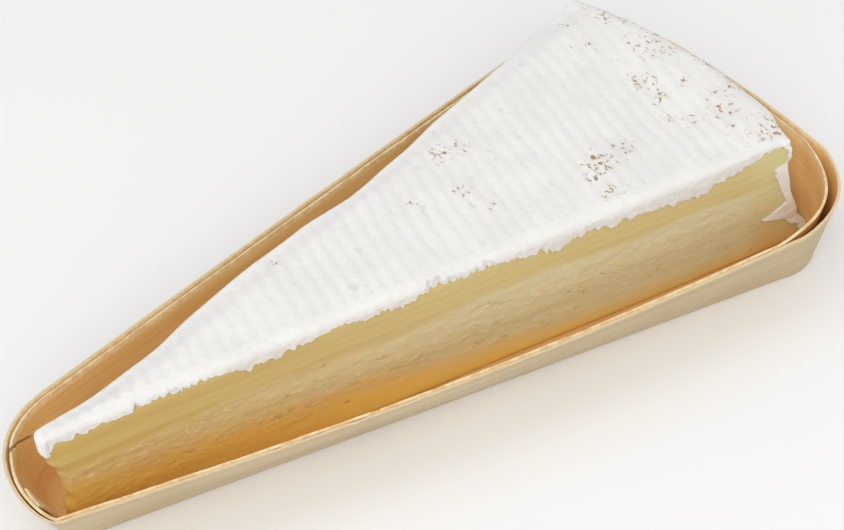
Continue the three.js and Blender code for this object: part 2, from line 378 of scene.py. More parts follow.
def paste_finish():
    """Ripe paste: gold below, lifted brighter at the foot as painted light, chalky cream in the middle,
    a smooth band under the rind, pits and cracks darkened as painted shade.
    """
    bench = Bench("ripe_paste")
    place = bench.coordinates()
    x = bench.axis(place, 0)
    z = bench.axis(place, 2)
    along_cut = (0, 0, cheese().half_angle)
    streaks = bench.coordinates(turn=along_cut, scale=(0.22, 1, 1))
    sway = bench.cloud(streaks, 110, 2)
    swirl = bench.cloud(streaks, 420, 4, 0.6)
    grain = bench.cloud(streaks, 1500, 4, 0.62)
    crumbs = bench.cloud(bench.coordinates(scale=(0.5, 0.5, 1)), 900, 5, 0.65)
    level = z
    for cloud, drift in ((sway, 7 * MM), (swirl, 2.5 * MM)):
        moved = bench.math("MULTIPLY", bench.math("SUBTRACT", cloud, 0.5), drift)
        level = bench.math("ADD", level, moved)
    backward = bench.span(x, -95 * MM, 15 * MM)
    gold_fall = bench.math("MULTIPLY", bench.span(x, -105 * MM, 60 * MM), 11 * MM)
    ripe = bench.math("SUBTRACT", bench.math("SUBTRACT", 13.8 * MM, gold_fall), level)
    chalk = bench.math("MULTIPLY", bench.span(level, 3 * MM, 9 * MM),
                       bench.span(level, 17 * MM, 21 * MM, 1, 0))
    cream = bench.mix(backward, (0.61, 0.44, 0.155), cheese().paste_cream)
    cream = bench.mix(bench.span(grain, 0.35, 0.68, 0, 0.3), cream, (0.78, 0.66, 0.42))
    flecks = bench.math("MULTIPLY", chalk, bench.span(crumbs, 0.56, 0.68, 0, 0.55))
    cream = bench.mix(flecks, cream, (0.88, 0.78, 0.54))
    # Painted light: the gold is brighter towards the foot, where the tray wall shades the cut.
    gold = bench.mix(bench.span(z, 0, 8 * MM), (0.92, 0.67, 0.18), cheese().paste_gold)
    colour = bench.mix(bench.span(ripe, -4.5 * MM, 4 * MM), cream, gold)
    band = bench.span(level, 18.5 * MM, 22 * MM)
    line = bench.add("TexWave", {
        "Vector": bench.coordinates(scale=(0.12, 0, 1)), "Scale": 62, "Distortion": 3.2,
        "Detail": 2.5, "Detail Scale": 0.8}, bands_direction="Z").outputs["Fac"]
    underskin = bench.mix(backward, (0.57, 0.40, 0.12), (0.64, 0.53, 0.24))
    underskin = bench.mix(bench.span(line, 0.2, 0.9, 0, 0.45), underskin, (0.67, 0.55, 0.23))
    colour = bench.mix(bench.math("MULTIPLY", band, 0.85), colour, underskin)
    smooth_end = bench.span(x, 70 * MM, 76 * MM)
    end_colour = bench.mix(bench.span(level, 1 * MM, 16 * MM), (0.74, 0.52, 0.20), (0.68, 0.63, 0.33))
    colour = bench.mix(bench.math("MULTIPLY", smooth_end, 0.6), colour, end_colour)
    drawn_out = bench.coordinates(turn=along_cut, scale=(0.3, 0.3, 1))
    cracks = bench.cloud(drawn_out, 520, 2, 0.5, 0.6)
    thin = bench.span(bench.math("ABSOLUTE", bench.math("SUBTRACT", cracks, 0.5)), 0.004, 0.018, 1, 0)
    broken = bench.span(bench.cloud(streaks, 330, 3, 0.6), 0.57, 0.64)
    thin = bench.math("MULTIPLY", thin, bench.math("MULTIPLY", broken, chalk))
    # Painted shade: pits and crack lines are darkened to a deep brown, the pits more the deeper they
    # are.
    pit = bench.math("MAXIMUM", bench.math("MULTIPLY", bench.attribute("pit"), 0.6),
                     bench.math("MULTIPLY", thin, 0.5))
    colour = bench.mix(pit, colour, (0.44, 0.22, 0.05))
    crumbled = bench.math("MULTIPLY", crumbs, bench.math("ADD", chalk, 0.15))
    normal = bench.relief(crumbled, 0.45 * MM, 0.5)
    normal = bench.relief(bench.math("SUBTRACT", 1.0, thin), 0.25 * MM, 0.4, normal)
    normal = bench.relief(grain, 0.15 * MM, 0.35, normal)
    return bench.shade(
        Base_Color=colour, Normal=normal, Roughness=0.55, Specular_IOR_Level=0.3,
        Subsurface_Weight=0.3, Subsurface_Radius=(1.0, 0.6, 0.25), Subsurface_Scale=2.0 * MM)


def veneer_finish(name, wood, pale, dark, crack_at=None):
    """Sliced poplar: long fine grain along the strip, darker pores, pale broken edges."""
    bench = Bench(name)
    unrolled = bench.coordinates(source="UV")
    grain = bench.cloud(bench.coordinates(source="UV", scale=(9, 260, 1)), 1.0, 5, 0.62, 0.3)
    fibre = bench.cloud(bench.coordinates(source="UV", scale=(40, 2200, 1)), 1.0, 3, 0.6)
    clouds = bench.cloud(unrolled, 28, 3, 0.5)
    pores = bench.cloud(bench.coordinates(source="UV", scale=(160, 1500, 1)), 1.0, 2, 0.5)
    colour = bench.mix(bench.span(clouds, 0.3, 0.7, 0, 0.6), wood, pale)
    colour = bench.mix(bench.span(grain, 0.40, 0.66, 0, 0.55), colour, dark)
    colour = bench.mix(bench.span(fibre, 0.45, 0.7, 0, 0.3), colour, pale)
    colour = bench.mix(bench.span(pores, 0.66, 0.76, 0, 0.5), colour, [c * 0.6 for c in dark])
    rim = bench.attribute("rim")
    frayed = bench.cloud(bench.coordinates(source="UV", scale=(500, 500, 1)), 1.0, 3, 0.6)
    fresh = bench.mix(bench.span(frayed, 0.42, 0.6), (0.90, 0.74, 0.47), (0.78, 0.57, 0.30))
    colour = bench.mix(bench.attribute("inner_face"), colour, tray().inside_wood)
    colour = bench.mix(rim, colour, fresh)
    if crack_at:
        colour = bench.mix(crack_line(bench, unrolled, *crack_at), colour, (0.20, 0.09, 0.03))
    height = bench.math("ADD", grain, bench.math("MULTIPLY", fibre, 0.5))
    normal = bench.relief(height, 0.12 * MM, 0.5)
    normal = bench.relief(frayed, 0.2 * MM, bench.math("MULTIPLY", rim, 0.6), normal)
    return bench.shade(Base_Color=colour, Normal=normal, Roughness=0.62, Specular_IOR_Level=0.3)


# The split in the inner wall by the tip: how far it runs along for each step down, how deep it goes,
# and where its top stands, from the wedge's tip.
CRACK_SLANT = 1.75
CRACK_DROP = 6 * MM
CRACK_ASIDE = Vector((-3.8 * MM, 11.2 * MM, 0))


def crack_line(bench, unrolled, reach, top):
    """A thin dark split that slants down from the rim, on the unrolled veneer."""
    fallen = bench.math("SUBTRACT", top, bench.axis(unrolled, 1))
    wander = bench.math("SUBTRACT", bench.cloud(unrolled, 260, 2), 0.5)
    line = bench.math("MULTIPLY_ADD", fallen, -CRACK_SLANT, reach)
    line = bench.math("MULTIPLY_ADD", wander, 2.5 * MM, line)
    away = bench.math("ABSOLUTE", bench.math("SUBTRACT", bench.axis(unrolled, 0), line))
    seen = bench.span(fallen, CRACK_DROP * 0.7, CRACK_DROP, 0.85, 0)
    return bench.math("MULTIPLY", bench.span(away, 0.2 * MM, 0.75 * MM, 1, 0), seen)


# ---------------------------------------------------------------- the wedge's own frame


def cuts():
    """The wedge's tip and the outward directions of its near and far cuts."""
    set_of = cheese()
    tip = Vector((CHEESE_HIGH.x - set_of.wheel_radius - set_of.wheel_slump,
                  (CHEESE_LOW.y + CHEESE_HIGH.y) / 2, 0))
    near = Vector((-math.sin(set_of.half_angle), -math.cos(set_of.half_angle), 0))
    far = Vector((-math.sin(set_of.half_angle), math.cos(set_of.half_angle), 0))
    return tip, near, far


# How far the far cut stands out from a straight cut, along the wedge.
FAR_WANDER = ((0, 0.2), (30, -0.5), (44, 0.6), (56, 0.9), (74, 0.1), (92, -1.9), (106, -1.5),
              (124, -0.2), (145, 0.2), (162, 1.2), (172, 0.6))


def plan_point(tip, reach, across):
    """A place on the plan: reach from the tip, and across from the near cut, -1, to the far, 1."""
    set_of = cheese()
    angle = across * set_of.half_angle
    away = max(reach, 0.0)
    blunt = set_of.blunt_tip * math.exp(-away / BLUNT_REACH)
    wander = max(across, 0.0) ** 3 * between(FAR_WANDER, reach / MM) * MM
    x = reach if reach < 0 else reach * math.cos(angle)
    return tip + Vector((x, away * math.sin(angle) + across * blunt + wander, 0))


def half_width(reach):
    """Half of the wedge's width at a reach from its tip."""
    set_of = cheese()
    away = max(reach, 0.0)
    return away * math.sin(set_of.half_angle) + set_of.blunt_tip * math.exp(-away / BLUNT_REACH)


# How far the wheel's side stands past its top edge at the near cut, by height.
NEAR_LEAN = ((0, 4.0), (2, 3.6), (7.5, -1.1), (14.7, -3.6), (22.7, -4.6), (28.0, -2.2), (30.5, 0))

# The tip's torn edge, by height.
TIP_TEAR = ((0, -0.2), (8, 0.0), (12, 1.2), (16, 0.5), (20, 0.3), (23, -1.0), (26, -1.5), (31, -0.6))

# The wheel's side: how far in its round shoulders start, how square they are, how far it spreads in the
# tray and how high its top edge stands up.
SHOULDER_DEPTH = 5 * MM
SHOULDER_POWER = 4.6
EDGE_SPREAD = 1.2 * MM
EDGE_LIP = 0.9 * MM

# How far the top sinks at its far edge, and how far in from there.
FAR_SAG = 1.4 * MM
SAG_REACH = 6 * MM

# How fast the tip's own width dies away along the wedge.
BLUNT_REACH = 28 * MM


def edge_lip(reach, height, y):
    """How far the wheel's top edge stands up, most in its middle and not at the near cut."""
    rise = EDGE_LIP * (1.7 + 1.2 * ripple(y, 0, 13 * MM, 47))
    rise *= smooth(-30 * MM, -18 * MM, y) * (1 - 0.6 * smooth(28 * MM, 38 * MM, y))
    return rise * smooth(156 * MM, 172 * MM, reach) * smooth(18 * MM, CHEESE_HIGH.z - 2 * MM, height)


def near_roll(reach):
    """How round the top's near edge is: soft along the cut, sharp at the wheel's side."""
    return (0.6 + 1.6 * (1 - smooth(148 * MM, 168 * MM, reach))) * MM


def near_slump(reach, height):
    """How far the ripe paste has slumped out of the near cut at its foot."""
    return 1.3 * MM * (1 - smooth(CHEESE_LOW.z, 9 * MM, height)) * smooth(20 * MM, 90 * MM, reach)


def far_sag(reach, inset):
    """How far the top sinks towards its far edge, from which inset is measured."""
    faded = min(SAG_REACH, 1.2 * half_width(reach))
    return FAR_SAG * smooth(0, 14 * MM, reach) * (1 - smooth(0, faded, inset))


def near_lean(height, across):
    """How far the wheel's side leans out by the near cut."""
    return between(NEAR_LEAN, (height - CHEESE_LOW.z) / MM) * MM * bump(-1, 0.35, across)


def wheel_edge(height, across, skin=0.0):
    """How far out the wheel's side is at a height, or the side a skin's thickness inside it."""
    set_of = cheese()
    middle = (CHEESE_LOW.z + CHEESE_HIGH.z) / 2
    half = (CHEESE_HIGH.z - CHEESE_LOW.z) / 2 - skin
    level = min(1.0, abs(height - middle) / half)
    depth = SHOULDER_DEPTH + set_of.wheel_slump * (1 - level ** 4) - skin
    round_in = (1 - level ** SHOULDER_POWER) ** (1 / SHOULDER_POWER)
    shoulder = set_of.wheel_radius + EDGE_SPREAD - SHOULDER_DEPTH
    return shoulder + depth * round_in + near_lean(height, across)


# ---------------------------------------------------------------- paste

# Small cracks and holes in the cut: reach, height, length and depth.
PITS = (
    (50.6, 14.8, 1.2, 0.9), (63.6, 6.1, 2.0, 0.7), (50, 10.2, 5.0, 0.5), (55, 9.6, 4.0, 0.4),
    (58, 13.5, 5.0, 0.35), (66, 10.2, 5.5, 0.4), (75.3, 9.9, 4.5, 0.5), (81, 10.2, 3.0, 0.4),
    (95, 7.2, 4.5, 0.6), (101.2, 6.2, 4.5, 0.6), (59.4, 19.1, 1.0, 0.6), (98.5, 18.1, 0.9, 0.5),
    (112, 5.0, 2.2, 0.4), (126.5, 13.2, 1.0, 0.7), (118, 11.9, 1.3, 0.7), (151, 3.6, 1.6, 0.6),
    (160, 5.8, 3.0, 0.7), (165.3, 2.8, 1.6, 0.6), (141, 8.0, 2.4, 0.4), (30, 12.0, 3.0, 0.3),
    (22, 17.0, 2.0, 0.3), (120, 6.5, 4.0, 0.35), (135, 15.0, 2.0, 0.3))


def pit_depth(reach, height):
    """How deep the pits are at a place on the near cut, in metres."""
    deepest = 0.0
    for centre, level, length, depth in PITS:
        sideways = (reach / MM - centre) / (length * 0.5)
        wobble = 0.5 * ripple(reach, height, 1.1 * MM, 3)
        upright = (height / MM - level - 0.10 * (reach / MM - centre) + wobble) / (0.2 + 0.12 * depth)
        away = math.sqrt(sideways * sideways + upright * upright)
        deepest = max(deepest, 0.6 * depth * (1 - smooth(0.3, 1.15, away)))
    return deepest * MM


def cut_relief(reach, height):
    """Relief of a fresh cut: drawn-out smears, crumbs in the chalky middle, a smooth top band."""
    chalk = smooth(2 * MM, 8 * MM, height) * (1 - smooth(17 * MM, 22 * MM, height))
    chalk *= 1 - 0.8 * smooth(160 * MM, 164 * MM, reach)
    smear = 0.12 * ripple(reach * 0.22, height, 2.6 * MM, 11)
    crumb = 0.15 * ripple(reach * 0.5, height, 0.95 * MM, 12)
    crumb += 0.10 * ripple(reach, height, 0.55 * MM, 13)
    patch = smooth(-0.2, 0.35, ripple(reach * 0.4, height, 5 * MM, 16))
    crumb *= 0.35 + 0.9 * patch
    wave = 0.30 * ripple(reach * 0.25, height, 10 * MM, 14)
    band_lines = 0.035 * math.sin(height / MM * 3.0 + 2.4 * ripple(reach * 0.4, 0, 12 * MM, 15))
    band_lines *= smooth(19 * MM, 22 * MM, height)
    return (wave + smear * (0.3 + chalk) + crumb * chalk + band_lines) * MM


# The paste's columns in all, round its nose and over its end, and its rows on a cut and on a flat.
PASTE_COLUMNS = 430
NOSE_COLUMNS = 8
CAP_COLUMNS = 8
CUT_ROWS = 62
FLAT_ROWS = 8

# How round the nose is, how far the cuts' edges are eased, how far the paste stays under the rind's
# skin and settles at its foot, and how deep a pit must be for its painted shade to be full.
PASTE_NOSE = 1.5 * MM
PASTE_EASE = 1.2 * MM
UNDER_SKIN = 0.25 * MM
FOOT_BELOW = 0.15 * MM
DARKEST_PIT = 0.5 * MM


def paste_lanes(low, high):
    """The rows round the wedge: near cut down, base, far cut up and top, as (across, height)."""
    heights = shares(CUT_ROWS, high, low)
    lanes = [(-1.0, z) for z in heights]
    lanes += [(a, low) for a in shares(FLAT_ROWS, -1, 1)[1:-1]]
    lanes += [(1.0, z) for z in reversed(heights)]
    lanes += [(a, high) for a in shares(FLAT_ROWS, 1, -1)[1:]]
    return lanes


def make_paste():
    """The paste: the wedge as cut, with its torn tip, a slumped foot and a sunken far edge."""
    tip, near, far = cuts()
    low = CHEESE_LOW.z - FOOT_BELOW
    high = CHEESE_HIGH.z - cheese().rind_thickness - UNDER_SKIN
    lanes = paste_lanes(low, high)
    last_main = PASTE_COLUMNS - CAP_COLUMNS
    stride = PASTE_COLUMNS + 1
    painted_pit_shade = [0.0] * (stride * len(lanes))

    def place(column, row):
        across, height = lanes[row]
        tear = between(TIP_TEAR, height / MM) * MM + 0.5 * MM * ripple(0, height, 2.2 * MM, 21)
        back = wheel_edge(height, across, cheese().rind_thickness)
        squeeze = 1.0
        if column < NOSE_COLUMNS:
            turn = column / NOSE_COLUMNS * math.pi / 2
            squeeze = math.sin(turn)
            reach = tear + PASTE_NOSE * (1 - math.cos(turn))
        elif column <= last_main:
            share = (column - NOSE_COLUMNS) / (last_main - NOSE_COLUMNS)
            start = tear + PASTE_NOSE
            reach = start + (back - start) * share
        else:
            share = (column - last_main) / CAP_COLUMNS
            squeeze = 1 - share
            reach = back
        point = plan_point(tip, reach, across * squeeze)
        point.z = height
        if across > 0:
            sag = 1.15 * far_sag(reach, (1 - across) * half_width(reach))
            sag *= smooth(high - 6 * MM, high, height)
            point.z -= sag
            point -= far * 0.5 * sag * smooth(0.9, 1.0, across)
        point.z += edge_lip(reach, height, point.y)
        if abs(across) == 1 and squeeze == 1:
            edge = min(height - low, high - height)
            tuck = 0.35 * PASTE_EASE * (1 - min(1.0, edge / PASTE_EASE)) ** 2
            if across < 0:
                roll = near_roll(reach)
                tuck = max(tuck, 0.4 * roll * (1 - min(1.0, (high - height) / (1.1 * roll))) ** 2)
            relief = cut_relief(reach, height) - tuck
            if across < 0:
                # Painted shade: a pit's depth sets how dark its colour is made.
                pit = pit_depth(reach, height)
                painted_pit_shade[row * stride + column] = min(1.0, pit / DARKEST_PIT)
                relief += near_slump(reach, height) - pit
            point += (near if across < 0 else far) * relief
        return point

    piece = grid_piece("cheese_paste", PASTE_COLUMNS, len(lanes) - 1, place)
    paint(piece, "pit", painted_pit_shade)
    in_edit_mode(piece, weld, face_outwards)
    finish_piece(piece, "cheese_wedge", paste_finish(), 60)


# ---------------------------------------------------------------- rind

# How far the rind is dragged down over the near cut, along the wedge.
NEAR_DRAPE = ((0, 3.2), (6, 2.4), (14, 2.2), (22, 1.6), (34, 1.7), (44, 4.2), (52, 3.4), (62, 2.2),
              (70, 3.0), (78, 3.6), (86, 1.6), (96, 1.8), (106, 3.0), (114, 5.2), (122, 3.6),
              (132, 4.6), (142, 5.0), (150, 6.0), (157, 4.4), (163, 2.8), (169, 1.5), (175, 1.5))

# How far the side's rind is folded onto the near cut, by height.
SIDE_DRAPE = ((0, 1.6), (3.6, 2.8), (6.2, 4.1), (7.4, 4.6), (9.0, 8.8), (10.2, 5.1), (12.3, 2.3),
              (16.9, 3.1), (21.9, 3.4), (23.0, 3.8), (24.0, 0.9), (27.0, 0.6), (29.0, 1.5))

# How far the rind hangs over the nose, how round it is there, and how far past the tip it stands.
NOSE_DROP = 5 * MM
NOSE_ROUND = 1.4 * MM
NOSE_PROUD = 1.9 * MM

# How round the far edge and the wheel side's edges are, and the shortest hem.
FAR_ROUND = 0.8 * MM
SIDE_ROUND = 0.6 * MM
LEAST_HEM = 0.35 * MM

# The rind's columns round its nose, along its top, down its side and under its base, and its rows.
NOSE_COUNT = 8
BEND_COUNT = 5
TOP_COUNT = 500
SIDE_COUNT = 96
BASE_COUNT = 16
HEM_ROWS = 10
NEAR_FOLD_ROWS = 6
FAR_FOLD_ROWS = 3
FAR_HEM_ROWS = 5
ACROSS_ROWS = 46

# Where the base's rind starts from the tip, how far it is kept in from the near cut, and the height on
# the wheel's side where its hem begins to run level.
BASE_START = 3 * MM
BASE_IN = 3 * MM
LEVEL_HEM = 23 * MM


def rind_stations():
    """The columns along the skin: nose, top, wheel side and base, as (reach, height, normal, part)."""
    low, high = CHEESE_LOW.z, CHEESE_HIGH.z
    stations = []
    for height in shares(NOSE_COUNT, high - NOSE_DROP, high - NOSE_ROUND):
        stations.append((-NOSE_PROUD, height, Vector((-1, 0)), "nose"))
    for turn in shares(BEND_COUNT, 0, math.pi / 2)[1:]:
        cos, sin = math.cos(turn), math.sin(turn)
        reach = -NOSE_PROUD + NOSE_ROUND * (1 - cos)
        stations.append((reach, high - NOSE_ROUND * (1 - sin), Vector((-cos, sin)), "top"))
    flat_end = cheese().wheel_radius + EDGE_SPREAD - SHOULDER_DEPTH
    for reach in shares(TOP_COUNT, stations[-1][0], flat_end)[1:]:
        stations.append((reach, high, Vector((0, 1)), "top"))
    middle, half = (low + high) / 2, (high - low) / 2
    power = 2 / SHOULDER_POWER
    for share in shares(SIDE_COUNT)[1:-1]:
        turn = math.pi / 2 - share * math.pi
        cos, sin = math.cos(turn), math.sin(turn)
        height = middle + half * math.copysign(abs(sin) ** power, sin)
        normal = Vector((cos / SHOULDER_DEPTH, sin / half)).normalized()
        stations.append((wheel_edge(height, 0), height, normal, "side"))
    for reach in shares(BASE_COUNT, flat_end, BASE_START):
        stations.append((reach, low, Vector((0, -1)), "base"))
    return stations


def rind_lanes():
    """The rows across the skin, from the near hem to the far hem, as (part, share)."""
    lanes = [("near_hem", s) for s in shares(HEM_ROWS, 1, 0)[:-1]]
    lanes += [("near_fold", s) for s in shares(NEAR_FOLD_ROWS, 1, 0)]
    lanes += [("skin", s) for s in shares(ACROSS_ROWS)[1:-1]]
    lanes += [("far_fold", s) for s in shares(FAR_FOLD_ROWS)]
    lanes += [("far_hem", s) for s in shares(FAR_HEM_ROWS)[1:]]
    return lanes


def torn(place, seed):
    """A torn edge's teeth, in millimetres: long tears, short tears and threads."""
    long_tear = 0.9 * ripple(place, 0, 6 * MM, seed)
    short_tear = 1.2 * ripple(place, 0, 2.2 * MM, seed + 1)
    tooth = 1.1 * ripple(place, 0, 0.95 * MM, seed + 2)
    bite = -1.9 * max(0.0, ripple(place, 0, 3.1 * MM, seed + 3) - 0.2)
    thread = 3.2 * max(0.0, ripple(place, 0, 0.8 * MM, seed + 4) - 0.36)
    return long_tear + short_tear + tooth + bite + thread


# The heading that crosses the draining mat's ridges.
MAT_HEADING = math.radians(-15)


def mat_print(x, y):
    """The draining mat's print: 0 in its hollows and 1 on its ridges, broken up by a cross weave."""
    cos, sin = math.cos(MAT_HEADING), math.sin(MAT_HEADING)
    along = x * cos + y * sin
    sideways = y * cos - x * sin
    along += 0.9 * MM * ripple(x, y, 16 * MM, 31) + 0.35 * MM * ripple(x, y, 5 * MM, 32)
    ridge = 0.5 + 0.5 * math.cos(2 * math.pi * along / cheese().mat_spacing)
    weave = 0.5 + 0.5 * ripple(along * 1.2, sideways * 0.45, 2.3 * MM, 33)
    strength = 0.45 + 0.55 * smooth(-0.35, 0.4, ripple(x, y, 14 * MM, 34))
    return 0.5 + (ridge ** 0.7 - 0.5) * strength * (0.55 + 0.6 * weave)


def skin_relief(point, part, edge):
    """The rind's own relief at a place, in metres."""
    x, y, z = point
    slow = 0.35 * ripple(x, y, 22 * MM, 41) + 0.16 * ripple(x, y, 7 * MM, 42)
    felt = 0.07 * ripple(x, y + z, 1.7 * MM, 43)
    if part == "side":
        folds = 0.30 * ripple(y, z, 4.5 * MM, 44) + 0.16 * ripple(y, z, 1.9 * MM, 45)
        return (slow + felt + folds) * MM
    if part == "base":
        return 0.0
    relief = cheese().mat_relief * (mat_print(x, y) * 2 - 1)
    shoulder = smooth(72 * MM, 84 * MM, x)
    wrinkle = 0.45 * abs(ripple(x * 1.3, y * 0.5, 3.2 * MM, 46)) * shoulder
    return relief * edge * (1 - 0.6 * shoulder) + (slow + felt - wrinkle) * MM


def wear_at(x, y, z):
    """How worn the bloom is: thickest along the wheel's shoulder, with a few spots on the top."""
    reach = (Vector((x, y, 0)) - cuts()[0]).length / MM
    worn = 0.75 * smooth(164, 173, reach) * smooth(-0.45, 0.3, ripple(x, y, 9 * MM, 51))
    worn += 0.35 * smooth(150, 166, reach) * smooth(0.1, 0.45, ripple(x, y, 7 * MM, 52))
    worn *= smooth(6 * MM, 20 * MM, z)
    for centre, side, size, amount in WORN_SPOTS:
        away = math.hypot(x / MM - centre, y / MM - side)
        worn = max(worn, amount * 1.4 * (1 - smooth(0.2 * size, size, away)))
    return min(1.0, worn)


def hem_length(station, side):
    """How far the rind hangs over a cut at a column: over the near cut, -1, or the far, 1."""
    reach, height, normal, part = station
    if part == "base":
        return 0.9 * MM
    if part == "top" and normal.x < -0.01:
        return NOSE_ROUND
    if part == "nose":
        return NOSE_ROUND + (0.1 * torn(height, 63) * MM if side < 0 else 0.0)
    if side > 0:
        along = 0.2 - height if part == "side" else reach
        return max(0.9, 2.6 + torn(along, 71)) * MM
    if part == "side":
        along = height - CHEESE_LOW.z
        length = between(SIDE_DRAPE, along / MM) + 0.75 * torn(along, 62)
    else:
        length = between(NEAR_DRAPE, reach / MM) + 0.9 * torn(reach, 64)
    return max(0.35, length) * MM


def make_rind():
    """The rind: one skin over the top, side and base, rolled and torn over the two cuts."""
    tip, near, far = cuts()
    stations = rind_stations()
    lanes = rind_lanes()
    count = len(stations) * len(lanes)
    facts = {"mat_print": [1.0] * count, "torn_edge": [0.0] * count, "wear": [0.0] * count}

    def place(column, row):
        station = stations[column]
        reach, height, normal, part = station
        lane, share = lanes[row]
        width = 2 * half_width(reach)
        side = -1 if lane.startswith("near") else 1
        near_fold = min(near_roll(reach) if part == "top" else SIDE_ROUND, 0.3 * width)
        far_fold = min(FAR_ROUND, 0.2 * width)
        inward = -near if side < 0 else -far
        if lane == "skin":
            aside = near_fold + share * (width - near_fold - far_fold)
            across = -1 + 2 * aside / width
            extra = near_lean(height, across) if part == "side" else 0.0
            point = plan_point(tip, reach + extra, across)
            point.z = height
        else:
            fold = near_fold if side < 0 else far_fold
            depth = hem_length(station, side)
            turn = math.acos(1 - min(1.0, depth / fold))
            if lane.endswith("fold"):
                turn *= share
            sunk = fold * (1 - math.cos(turn))
            aside = fold * (1 - math.sin(turn))
            lift = (0.45 if side < 0 else 0.2) * MM * math.sin(turn)
            if lane.endswith("hem"):
                sunk += share * max(LEAST_HEM, depth - fold)
                curl = max(0.0, 0.35 * ripple(reach + height, 0, 4 * MM, 65) + 0.1)
                lift += curl * share * share * MM if side < 0 else 0.0
            run = normal
            if part == "side":
                level = 1 - smooth(LEVEL_HEM, LEVEL_HEM + 6 * MM, height)
                run = normal.lerp(Vector((1, 0)), level).normalized()
            if part == "base" and side < 0:
                lift = -BASE_IN
            elif side < 0:
                lift += near_slump(reach, height - run.y * sunk) * math.sin(turn)
            extra = near_lean(height, side) if part == "side" else 0.0
            at = reach + extra - run.x * sunk
            point = plan_point(tip, at, side) + inward * (aside - lift)
            point.z = height - run.y * sunk
        tilt = Vector((normal.x, 0, normal.y))
        if lane.endswith("hem"):
            crumple = 0.4 if part == "side" else 0.18
            point -= inward * crumple * MM * ripple(reach, point.z, 1.6 * MM, 66)
        else:
            inset = min(share, 1 - share) if lane == "skin" else 0.0
            edge = smooth(0, 0.04, inset)
            point += tilt * skin_relief(point, part, edge)
        if part == "top" and side > 0:
            inset = (1 - share) * (width - near_fold - far_fold) if lane == "skin" else 0.0
            point.z -= far_sag(reach, inset)
        if part in ("top", "side"):
            point.z += edge_lip(reach, height, point.y)
        key = row * len(stations) + column
        if part in ("top", "nose") and lane == "skin":
            facts["mat_print"][key] = mat_print(point.x, point.y)
        # Painted shade on the near fold and hem: strongest on the hem, fading up the fold, about a
        # third as strong on the wheel's side.
        if lane.startswith("near"):
            hem_shade = 0.7 + 0.3 * share if lane.endswith("hem") else 0.7 * share
            facts["torn_edge"][key] = hem_shade * (0.35 if part == "side" else 1.0)
        facts["wear"][key] = wear_at(point.x, point.y, point.z) if lane == "skin" else 0.0
        return point

    piece = grid_piece("cheese_rind", len(stations) - 1, len(lanes) - 1, place)
    for name, values in facts.items():
        paint(piece, name, values)
    apply_modifier(piece, "SOLIDIFY", thickness=cheese().rind_thickness * 0.75, offset=-1.0)
    finish_piece(piece, "cheese_wedge", bloom_finish(), 70)


# ---------------------------------------------------------------- veneer tray


def flat_loops(node, facing, height):
    """The loops round a CAD node's level faces at a height, the longest first."""
    mesh = bmesh.new()
    mesh.from_mesh(bpy.data.objects[node].data)
    bmesh.ops.remove_doubles(mesh, verts=mesh.verts, dist=0.001 * MM)
    level = [f for f in mesh.faces if f.normal.z * facing > 0.99
             and abs(f.calc_center_median().z - height) < 0.05 * MM]
    rim = {e for f in level for e in f.edges if sum(g in level for g in e.link_faces) == 1}
    loops = []
    while rim:
        edge = rim.pop()
        first, here = edge.verts
        points = [first.co.copy(), here.co.copy()]
        while here is not first:
            step = next(e for e in here.link_edges if e in rim)
            rim.remove(step)
            here = step.other_vert(here)
            points.append(here.co.copy())
        loops.append(points[:-1])
    mesh.free()
    return sorted((set_out(p) for p in loops), key=loop_length, reverse=True)


def loop_length(points):
    return sum((a - b).length for a, b in zip(points, points[1:] + points[:1]))


def set_out(points):
    """The same loop, counterclockwise from its far wide corner, where its seam hides best."""
    turned = sum(a.x * b.y - b.x * a.y for a, b in zip(points, points[1:] + points[:1]))
    around = points if turned > 0 else points[::-1]

    def outward(index):
        post = around[index]
        return round(post.x + 1.3 * post.y, 7), post.x

    start = max(range(len(around)), key=outward)
    return around[start:] + around[:start]


def lined_up(loop, guide):
    """The same loop, started at the post that stands on the guide's first."""
    count = len(loop)
    step = max(1, count // 24)

    def misfit(start):
        return sum((loop[(start + k) % count] - guide[k]).length for k in range(0, count, step))

    start = min(range(count), key=misfit)
    return loop[start:] + loop[:start]


def curve_point(loop, post, share):
    """A place on the smooth closed curve through a loop's points."""
    count = len(loop)
    a, b, c, d = (loop[(post + k) % count] for k in (-1, 0, 1, 2))
    span = max((c - b).length, 1e-6)
    before = max((b - a).length, 1e-6)
    after = max((d - c).length, 1e-6)
    start = ((b - a) / before * span + (c - b) / span * before) / (before + span) * span
    end = ((c - b) / span * after + (d - c) / after * span) / (span + after) * span
    s2, s3 = share * share, share ** 3
    return (b * (2 * s3 - 3 * s2 + 1) + start * (s3 - 2 * s2 + share)
            + c * (3 * s2 - 2 * s3) + end * (s3 - s2))


def posts_along(loop, step):
    """Where the columns of a wall stand, as (post, share), about a step apart."""
    places = []
    for post in range(len(loop)):
        gap = (loop[(post + 1) % len(loop)] - loop[post]).length
        for share in shares(max(1, round(gap / step)))[:-1]:
            places.append((post, share))
    return places


def rim_wear(place, seed):
    """How far splinters have broken off the rim, in millimetres."""
    chipped = max(0.0, ripple(place, 0, 9 * MM, seed) - 0.15) * 1.3
    splinter = max(0.0, ripple(place, 0, 2.2 * MM, seed + 1)) * chipped
    fibre = 0.10 * ripple(place, 0, 0.9 * MM, seed + 2)
    return splinter + 0.2 * chipped + max(0.0, fibre)


# How far apart a wall's columns stand, its rows, and how tall it is on the unrolled veneer.
WALL_STEP = 0.65 * MM
WALL_ROWS = 18
RIM_ROWS = 3
WALL_UNROLLED = 21 * MM


